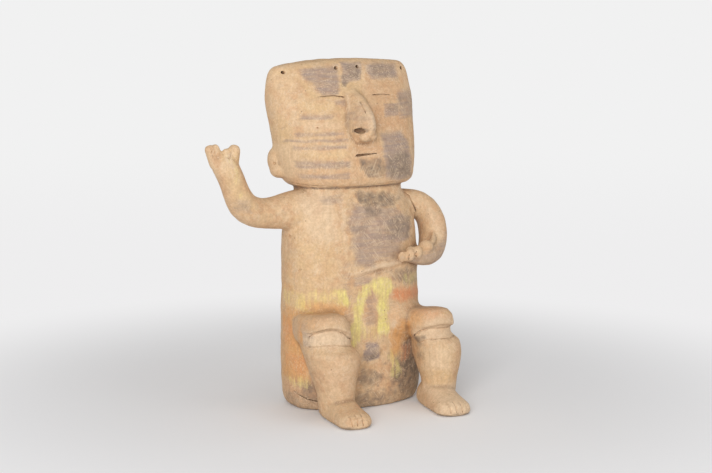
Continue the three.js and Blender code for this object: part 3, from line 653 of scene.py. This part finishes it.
def incision(skin, line, radius, sink, ends):
    """A tool that follows a line on the skin, sunk a little, and thins towards its ends."""
    stops = [Vector(place) for place in line]
    spots = []
    for start, end in zip(stops, stops[1:]):
        steps = max(1, round((end - start).length / TOOL_STEP))
        spots += [start.lerp(end, i / steps) for i in range(steps)]
    spots.append(stops[-1])
    path = []
    for spot in spots:
        point, normal = skin.place(spot)
        path.append(point - normal * sink)
    bpy.ops.object.select_all(action="DESELECT")
    bpy.ops.curve.primitive_nurbs_path_add(radius=1)
    tool = bpy.context.object
    tool.data.splines.clear()
    spline = tool.data.splines.new("POLY")
    spline.points.add(len(path) - 1)
    for i, point in enumerate(path):
        along = i / (len(path) - 1)
        spline.points[i].co = (*(point * MM), 1)
        spline.points[i].radius = ends[0] + (ends[1] - ends[0]) * along
    spline.points[0].radius *= TOOL_TIP
    spline.points[-1].radius *= TOOL_TIP
    tool.data.bevel_depth = radius * MM
    tool.data.bevel_resolution = 1
    tool.data.use_fill_caps = True
    bpy.ops.object.convert(target="MESH")
    bpy.ops.object.mode_set(mode="EDIT")
    bpy.ops.mesh.select_all(action="SELECT")
    bpy.ops.mesh.remove_doubles(threshold=0.01 * MM)
    bpy.ops.mesh.normals_make_consistent(inside=False)
    bpy.ops.object.mode_set(mode="OBJECT")
    return bpy.context.object


def toe_tools(skin):
    """Short tools for the lines between the toes."""
    tools = []
    for toe in TOES:
        x, y = toe["front"]
        for i in range(toe["lines"]):
            share = (2 * (i + 1)) / (toe["lines"] + 1) - 1
            side = x + share * toe["half"]
            back = y + 9 + 5 * share * share
            line = [(side, back + forward, height) for forward, height in TOE_LINE]
            tools.append(incision(skin, line, 0.85, 0, (0.3, 1)))
    return tools


def piercing_tool(skin, place):
    """A round rod through the front wall of the head."""
    point, _ = skin.place(place)
    bpy.ops.mesh.primitive_cylinder_add(
        vertices=16, radius=PIERCING_RADIUS * MM, depth=2 * PIERCING_DEPTH * MM,
        location=point * MM, rotation=(math.radians(82), 0, 0))
    bpy.ops.object.transform_apply(location=True, rotation=True, scale=True)
    return bpy.context.object


def ground_tool():
    """A slab below the floor's level, which cuts the underside and the soles flat."""
    bpy.ops.mesh.primitive_cube_add(size=1, location=(-0.03, -0.035, -0.01), scale=(0.4, 0.3, 0.02))
    bpy.ops.object.transform_apply(location=True, rotation=True, scale=True)
    return bpy.context.object


def cut(clay):
    """Cuts the slits, holes, cracks and toe lines out of the clay, and its underside flat."""
    skin = Skin(clay)
    tools = [incision(skin, **mark) for mark in INCISIONS]
    tools += toe_tools(skin)
    tools += [piercing_tool(skin, place) for place in PIERCINGS]
    tools += [pellet(**hollow) for hollow in HOLLOWS]
    tools.append(ground_tool())
    cutter = joined(tools)
    carve = clay.modifiers.new("carve", "BOOLEAN")
    carve.operation = "DIFFERENCE"
    carve.solver = "MANIFOLD"
    carve.object = cutter
    apply_all(clay)
    bpy.data.objects.remove(cutter)
    clay.data.materials.clear()


def parts_of(points):
    """Which part of the figure each point belongs to."""
    x, y, z = (points / MM).T
    raised = (x < -95) | ((x < -74) & (z > 172) & (z < 220))
    hand = (((points / MM - BENT_HAND["at"]) / BENT_HAND["half"]) ** 2).sum(1) < 1
    bent = ~raised & (((x > 73) & (z > 132) & (z < 216)) | hand)
    head = ~raised & ~bent & (z > 220)
    leg = ~raised & ~bent & (y < -51) & (z < 118)
    return {
        "raised_arm": raised,
        "bent_arm": bent,
        "head": head,
        "right_leg": leg & (x < 0),
        "left_leg": leg & (x > 0),
        "body": ~(raised | bent | head | leg),
        "back": ~(raised | bent | leg) & (y > 0),
    }


def depth_inside(outline, x, z):
    """How far each place lies inside an outline, negative outside it."""
    corners = np.array(outline, float)
    inside = np.zeros(len(x), bool)
    nearest = np.full(len(x), np.inf)
    for start, end in zip(corners, np.roll(corners, -1, axis=0)):
        edge = end - start
        along = np.clip(((x - start[0]) * edge[0] + (z - start[1]) * edge[1]) / (edge @ edge), 0, 1)
        off_x = x - start[0] - along * edge[0]
        off_z = z - start[1] - along * edge[1]
        nearest = np.minimum(nearest, np.hypot(off_x, off_z))
        if edge[1]:
            crossing = start[0] + (z - start[1]) * edge[0] / edge[1]
            inside ^= ((start[1] > z) != (end[1] > z)) & (x < crossing)
    return np.where(inside, nearest, -nearest)


def stain_cover(stains, points, normals, parts):
    """How much of one stain, paint, painted shade or painted highlight covers each point, from 0 to 1;
    outlines wander, less on the head.
    """
    x, _, z = (points / MM).T
    loose = np.where(parts["head"], 0.35, 1)
    wander_x = 1.3 * np.sin(0.31 * z + 1.7 * np.sin(0.19 * x)) + 0.7 * np.sin(0.83 * x + 0.57 * z)
    wander_z = 0.7 * np.sin(0.27 * x + 1.9 * np.sin(0.23 * z)) + 0.35 * np.sin(0.79 * z - 0.61 * x)
    front = smoothstep(0.35, -0.1, normals[:, 1])
    back = smoothstep(0.1, 0.5, normals[:, 1])
    cover = np.zeros(len(points))
    for part, strength, soft, outline in stains:
        depth = depth_inside(outline, x + loose * wander_x, z + loose * wander_z)
        facing = back if part == "back" else front
        cover = np.maximum(cover, strength * smoothstep(-soft, soft, depth) * facing * parts[part])
    return cover


def hollowness(mesh, points, normals, passes):
    """How far each point lies below its surroundings, in millimetres."""
    ends = np.empty(len(mesh.edges) * 2, np.int32)
    mesh.edges.foreach_get("vertices", ends)
    first, second = ends.reshape(-1, 2).T
    count = np.bincount(first, minlength=len(points)) + np.bincount(second, minlength=len(points))
    eased = points.copy()
    for _ in range(passes):
        total = np.empty_like(eased)
        for axis in range(3):
            values = eased[:, axis]
            total[:, axis] = np.bincount(first, values[second], len(points))
            total[:, axis] += np.bincount(second, values[first], len(points))
        eased = 0.5 * eased + 0.5 * total / count[:, None]
    return ((eased - points) * normals).sum(1) / MM


def store(mesh, name, values):
    """Keeps a value for each point of a mesh under a name."""
    attribute = mesh.attributes.new(name, "FLOAT", "POINT")
    attribute.data.foreach_set("value", values.astype(np.float32))


def stained(clay):
    """Lays the cover of each stain, paint and painted shade, and the depth of the hollows and the creases, on
    the points of the clay.
    """
    mesh = clay.data
    points = point_array(mesh)
    normals = normal_array(mesh)
    parts = parts_of(points)
    for name, stains in STAINS.items():
        store(mesh, name, stain_cover(stains, points, normals, parts))
    store(mesh, "hollow", hollowness(mesh, points, normals, HOLLOW_PASSES))
    # Depth of the broad creases, which the material darkens as painted shade and dirt and lightens on ridges
    # as wear.
    store(mesh, "crease_shade_dirt_and_wear", hollowness(mesh, points, normals, CREASE_PASSES))


class FIGURE_OT_model_clay(bpy.types.Operator):
    """Models the figure's clay from the CAD solid and finishes its surface"""

    bl_idname = "slab_figure.model_clay"
    bl_label = "Model the clay figure"

    def execute(self, context):
        settings = context.scene.figure_clay
        clay = copied_solid()
        added = [pellet(**place) for place in PELLETS]
        added += [roll(**line) for line in ROLLS]
        joined([clay, *added])
        remeshed(clay, settings)
        smoothed(clay, settings)
        handworked(clay, settings)
        thinned(clay, settings)
        cut(clay)
        clay.vertex_groups.clear()
        stained(clay)
        only(clay)
        bpy.ops.object.shade_smooth()
        print("clay triangles", sum(len(face.vertices) - 2 for face in clay.data.polygons))
        clay.data.materials.append(fired_clay(context.scene.figure_paint))
        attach(clay, "root")
        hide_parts(NODE)
        return {"FINISHED"}


class Recipe:
    """A material's nodes, added by plain calls"""

    def __init__(self, name):
        self.material = bpy.data.materials.new(name)
        self.material.use_nodes = True
        self.tree = self.material.node_tree
        self.shader = self.tree.nodes["Principled BSDF"]
        self.place = self.tree.nodes.new("ShaderNodeTexCoord").outputs["Object"]

    def node(self, kind, inputs, **choices):
        """Adds a node; an input is a plain value or another node's output."""
        node = self.tree.nodes.new(kind)
        for name, value in choices.items():
            setattr(node, name, value)
        for name, value in inputs.items():
            self.feed(node.inputs[name], value)
        return node

    def feed(self, socket, value):
        """Links or sets an input."""
        if isinstance(value, bpy.types.NodeSocket):
            self.tree.links.new(value, socket)
        else:
            socket.default_value = value

    def math(self, operation, first, second=0.0):
        """A sum, product or other reckoning of two values."""
        return self.node("ShaderNodeMath", {0: first, 1: second}, operation=operation).outputs[0]

    def grain(self, size, detail=3.0, stretch=(1, 1, 1), turn=(0, 0, 0), shift=0.0):
        """Noise from 0 to 1 with features of one size in millimetres, longer along stretched axes."""
        turned = self.node("ShaderNodeMapping", {
            "Vector": self.place,
            "Rotation": [math.radians(angle) for angle in turn],
            "Scale": [size * MM * factor for factor in stretch],
            "Location": (shift, shift, shift),
        }, vector_type="TEXTURE")
        noise = self.node("ShaderNodeTexNoise", {
            "Vector": turned.outputs[0], "Scale": 1.0, "Detail": detail, "Roughness": 0.6})
        return self.between(noise.outputs[0], 0.3, 0.7)

    def between(self, value, low, high):
        """0 below low, 1 above high, smooth between them."""
        node = self.node("ShaderNodeMapRange", {"Value": value, "From Min": low, "From Max": high},
                         interpolation_type="SMOOTHSTEP")
        return node.outputs[0]

    def field(self, name):
        """A value kept on the points of the mesh."""
        return self.node("ShaderNodeAttribute", {}, attribute_name=name).outputs["Fac"]

    def blend(self, share, first, second, kind="MIX"):
        """A colour between two colours."""
        node = self.tree.nodes.new("ShaderNodeMix")
        node.data_type = "RGBA"
        node.blend_type = kind
        for socket, value in (("Factor", share), (6, first), (7, second)):
            plain = isinstance(value, (bpy.types.NodeSocket, float))
            self.feed(node.inputs[socket], value if plain else (*value, 1))
        return node.outputs[2]

    def washed(self, colour, pattern, low, high, cover, tone):
        """Lays a tone over a colour where a pattern passes from low to high."""
        share = self.math("MULTIPLY", self.between(pattern, low, high), cover)
        return self.blend(share, colour, tone)

    def shaded(self, colour, pattern, dark, light):
        """Darkens and lightens a colour by a pattern."""
        return self.blend(1.0, colour, self.blend(pattern, dark, light), "MULTIPLY")


def worn_cover(recipe, name, grain, wear):
    """The cover of a stain, paint or painted shade, worn away where a grain is low."""
    worn = recipe.math("MULTIPLY", recipe.math("SUBTRACT", 1.0, grain), wear)
    full = recipe.math("MULTIPLY", recipe.field(name), 1.15)
    return recipe.node("ShaderNodeClamp", {"Value": recipe.math("SUBTRACT", full, worn)}).outputs[0]


def scratches(recipe):
    """Thin straight scratches in three directions, from 0 to 1."""
    lines = 0.0
    for angle, shift in ((24, 0.0), (-38, 0.4), (75, 0.8)):
        streak = recipe.grain(0.9, 0.0, stretch=(1, 1, 26), turn=(0, angle, 0), shift=shift)
        place = recipe.grain(16, 1.0, shift=shift + 2.0)
        lines = recipe.math("MAXIMUM", lines, recipe.math("MULTIPLY", recipe.between(streak, 0.9, 1.0),
                                                          recipe.between(place, 0.5, 0.8)))
    return lines


def pits(recipe):
    """Small scattered pits, from 0 to 1."""
    cells = recipe.node("ShaderNodeTexVoronoi", {"Vector": recipe.place, "Scale": 1 / (7 * MM)})
    chosen = recipe.between(cells.outputs["Color"], 0.62, 0.7)
    hole = recipe.between(cells.outputs["Distance"], 0.12, 0.06)
    return recipe.math("MULTIPLY", hole, chosen)


def specks(recipe):
    """Small pale crumbs stuck to the surface, from 0 to 1."""
    cells = recipe.node("ShaderNodeTexVoronoi", {"Vector": recipe.place, "Scale": 1 / (4.5 * MM)})
    chosen = recipe.between(cells.outputs["Color"], 0.6, 0.7)
    crumb = recipe.between(cells.outputs["Distance"], 0.22, 0.12)
    return recipe.math("MULTIPLY", crumb, chosen)


def fired_clay(paint):
    """Weathered fired clay with slip, worn paint, soot and pigments, with painted shade in creases, gaps and
    recesses and a few painted highlights.
    """
    recipe = Recipe("fired clay")
    wide = recipe.grain(38, 4)
    patchy = recipe.grain(12, 5)
    blotch = recipe.grain(6, 6, shift=0.7)
    ruddy = recipe.grain(9, 4, shift=2.3)
    mottle = recipe.grain(5, 3, shift=4.1)
    fine = recipe.grain(2, 4)
    brushed = recipe.grain(2.6, 4, stretch=(9, 9, 1))
    streaked = recipe.grain(2.8, 4, stretch=(1, 1, 7))

    colour = recipe.blend(wide, paint.clay, paint.buff)
    colour = recipe.blend(recipe.math("MULTIPLY", patchy, 0.6), colour, paint.tan)
    colour = recipe.washed(colour, blotch, 0.5, 1.0, 0.16, paint.umber)
    colour = recipe.washed(colour, ruddy, 0.4, 0.85, 0.6, paint.ochre)
    for name, grain, wear in (
        ("ochre", patchy, 0.3),
        ("gold", patchy, 0.3),
        ("pale", patchy, 0.35),
        ("umber", brushed, 0.4),
        ("soot_and_shadow", blotch, 0.5),
        ("orange", streaked, 0.3),
        ("yellow", streaked, 0.6),
        ("red", streaked, 0.4),
    ):
        colour = recipe.blend(worn_cover(recipe, name, grain, wear), colour, getattr(paint, name))
    # Darker in the broad creases, under the chin, in the armpits and where the legs meet the body: painted
    # shade and dirt. Lighter on the broad ridges, as worn edges.
    crease_shade_dirt_and_wear = recipe.field("crease_shade_dirt_and_wear")
    colour = recipe.washed(colour, crease_shade_dirt_and_wear, 0.3, 2.6, 0.5, paint.soil_and_shade)
    colour = recipe.washed(colour, crease_shade_dirt_and_wear, -0.6, -2.5, 0.25, paint.buff)
    # Darker in the small hollows and grooves, lighter on the small bumps.
    hollow = recipe.field("hollow")
    colour = recipe.washed(colour, hollow, 0.15, 0.9, 0.85, paint.soil_and_shade)
    colour = recipe.washed(colour, hollow, -0.2, -0.9, 0.4, paint.pale)
    colour = recipe.shaded(colour, fine, (0.91, 0.89, 0.88), (1.08, 1.08, 1.08))
    colour = recipe.shaded(colour, mottle, (0.94, 0.92, 0.9), (1.05, 1.05, 1.05))
    colour = recipe.shaded(colour, streaked, (0.95, 0.94, 0.93), (1.04, 1.04, 1.04))
    scratch = scratches(recipe)
    colour = recipe.blend(recipe.math("MULTIPLY", scratch, 0.4), colour, paint.pale)
    colour = recipe.blend(recipe.math("MULTIPLY", specks(recipe), 0.5), colour, paint.pale)
    pit = pits(recipe)
    colour = recipe.blend(recipe.math("MULTIPLY", pit, 0.6), colour, paint.soil_and_shade)
    recipe.feed(recipe.shader.inputs["Base Color"], colour)

    rough = recipe.node("ShaderNodeMapRange", {"Value": patchy, "To Min": 0.6, "To Max": 0.85})
    recipe.feed(recipe.shader.inputs["Roughness"], rough.outputs[0])
    recipe.shader.inputs["Specular IOR Level"].default_value = 0.35
    height = recipe.math("ADD", fine, recipe.math("MULTIPLY", recipe.grain(0.8, 2), 0.4))
    height = recipe.math("SUBTRACT", height, recipe.math("MULTIPLY", scratch, 0.4))
    height = recipe.math("SUBTRACT", height, recipe.math("MULTIPLY", pit, 1.5))
    bump = recipe.node("ShaderNodeBump", {"Height": height, "Strength": 0.35, "Distance": 0.3 * MM})
    recipe.feed(recipe.shader.inputs["Normal"], bump.outputs[0])
    return recipe.material


def floor_material(near, haze, far):
    """A pale floor that passes into the light of the surroundings away from the figure."""
    recipe = Recipe("pale floor")
    distance = recipe.node("ShaderNodeVectorMath", {0: recipe.place}, operation="LENGTH").outputs["Value"]
    away = recipe.between(distance, FLOOR_FADE[0], FLOOR_FADE[1])
    glow = recipe.blend(recipe.between(distance, FLOOR_FADE[1], AIR_DISTANCE), haze, far)
    recipe.feed(recipe.shader.inputs["Base Color"], recipe.blend(away, near, (0.0, 0.0, 0.0)))
    recipe.feed(recipe.shader.inputs["Emission Strength"], away)
    recipe.feed(recipe.shader.inputs["Emission Color"], glow)
    recipe.shader.inputs["Roughness"].default_value = 0.9
    recipe.shader.inputs["Specular IOR Level"].default_value = 0.0
    return recipe.material


def pale_surroundings(horizon, overhead):
    """Surroundings that are pale near the horizon and dimmer overhead."""
    world = bpy.data.worlds.new("pale surroundings")
    world.use_nodes = True
    nodes, links = world.node_tree.nodes, world.node_tree.links
    direction = nodes.new("ShaderNodeTexCoord")
    parts = nodes.new("ShaderNodeSeparateXYZ")
    ramp = nodes.new("ShaderNodeMapRange")
    mix = nodes.new("ShaderNodeMix")
    ramp.inputs["From Min"].default_value = SKY_RISE[0]
    ramp.inputs["From Max"].default_value = SKY_RISE[1]
    mix.data_type = "RGBA"
    mix.inputs[6].default_value = (*horizon, 1)
    mix.inputs[7].default_value = (*overhead, 1)
    links.new(direction.outputs["Generated"], parts.inputs[0])
    links.new(parts.outputs["Z"], ramp.inputs["Value"])
    links.new(ramp.outputs[0], mix.inputs["Factor"])
    links.new(mix.outputs[2], nodes["Background"].inputs["Color"])
    return world


def softbox(name, place, aim, size, power):
    """A large square area light that faces a point."""
    bpy.ops.object.light_add(type="AREA", location=place)
    lamp = bpy.context.object
    lamp.name = name
    lamp.data.shape = "SQUARE"
    lamp.data.size = size
    lamp.data.energy = power
    lamp.rotation_euler = (Vector(aim) - Vector(place)).to_track_quat("-Z", "Y").to_euler()


class FIGURE_OT_set_stage(bpy.types.Operator):
    """Sets the pale floor, the soft lights and the camera"""

    bl_idname = "slab_figure.set_stage"
    bl_label = "Set the stage"

    def execute(self, context):
        settings = context.scene.figure_stage
        bpy.ops.object.select_all(action="DESELECT")
        bpy.ops.mesh.primitive_circle_add(vertices=96, radius=30, fill_type="NGON", location=(0, 0, 0))
        floor = context.object
        floor.name = "floor"
        material = floor_material(settings.floor_tone, settings.haze_tone, settings.air_tone)
        floor.data.materials.append(material)
        context.scene.world = pale_surroundings(settings.air_tone, settings.sky_tone)
        for lamp in LAMPS:
            softbox(**lamp)
        forward = Vector((math.sin(settings.view_turn), math.cos(settings.view_turn), 0))
        right = Vector((math.cos(settings.view_turn), -math.sin(settings.view_turn), 0))
        place = right * settings.view_aside - forward * settings.view_distance
        place.z = settings.view_height
        turn = (math.pi / 2 - settings.view_dip, 0, -settings.view_turn)
        bpy.ops.object.camera_add(location=place, rotation=turn)
        camera = context.object
        camera.name = "camera"
        camera.data.lens = settings.lens
        camera.data.sensor_width = 36
        camera.data.clip_end = 100
        context.scene.camera = camera
        context.scene.view_settings.view_transform = "Standard"
        return {"FINISHED"}


class FIGURE_PT_sidebar(bpy.types.Panel):
    """Lists the figure's steps and settings"""

    bl_idname = "FIGURE_PT_sidebar"
    bl_label = "Slab figure"
    bl_space_type = "VIEW_3D"
    bl_region_type = "UI"
    bl_category = "Slab figure"

    def draw(self, context):
        for owner, operator in (
            (context.scene.figure_clay, "slab_figure.model_clay"),
            (context.scene.figure_paint, None),
            (context.scene.figure_stage, "slab_figure.set_stage"),
        ):
            if operator:
                self.layout.operator(operator)
            for name in owner.__annotations__:
                self.layout.prop(owner, name)


CLASSES = (
    ClaySettings,
    PaintSettings,
    StageSettings,
    FIGURE_OT_model_clay,
    FIGURE_OT_set_stage,
    FIGURE_PT_sidebar,
)


def register():
    for item in CLASSES:
        bpy.utils.register_class(item)
    bpy.types.Scene.figure_clay = bpy.props.PointerProperty(type=ClaySettings)
    bpy.types.Scene.figure_paint = bpy.props.PointerProperty(type=PaintSettings)
    bpy.types.Scene.figure_stage = bpy.props.PointerProperty(type=StageSettings)


def unregister():
    del bpy.types.Scene.figure_stage
    del bpy.types.Scene.figure_paint
    del bpy.types.Scene.figure_clay
    for item in reversed(CLASSES):
        bpy.utils.unregister_class(item)


def main():
    """Sets the stage, models the figure and prints its count of triangles."""
    register()
    bpy.ops.slab_figure.set_stage()
    bpy.ops.slab_figure.model_clay()


if __name__ == "__main__":
    main()
